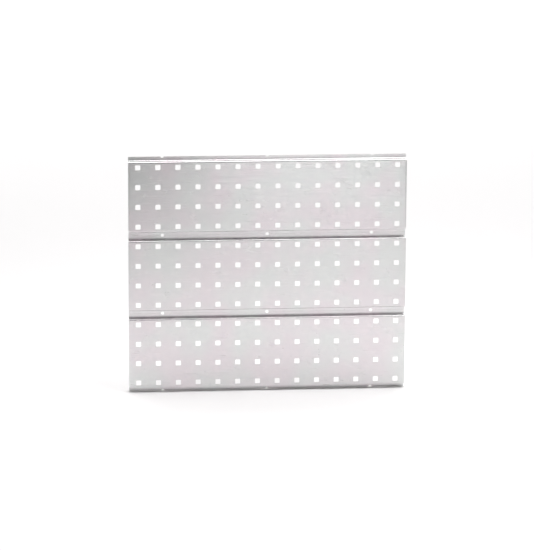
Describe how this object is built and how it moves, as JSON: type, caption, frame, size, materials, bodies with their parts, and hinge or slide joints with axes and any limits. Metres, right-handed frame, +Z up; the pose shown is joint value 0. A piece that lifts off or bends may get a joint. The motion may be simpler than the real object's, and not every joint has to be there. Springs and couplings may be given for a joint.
{
  "type": "pegboard tool wall",
  "caption": "Pegboard wall of bare folded sheet-metal trays with an even grid of square hook holes and thin flanges that screw flat to a wall.",
  "frame": {"origin": "on the wall plane, in the middle of the pattern of screw holes, which is also the middle of the whole wall", "axes": "+X runs to the right along the panels, +Z is up, and the faces look towards -Y, away from the wall"},
  "size_m": [0.53, 0.015, 0.4558],
  "materials": {
    "zinc_sheet": "satin"
  },
  "bodies": {
    "root": {"top_panel": "zinc_sheet", "middle_panel": "zinc_sheet", "bottom_panel": "zinc_sheet"}
  },
  "joints": []
}
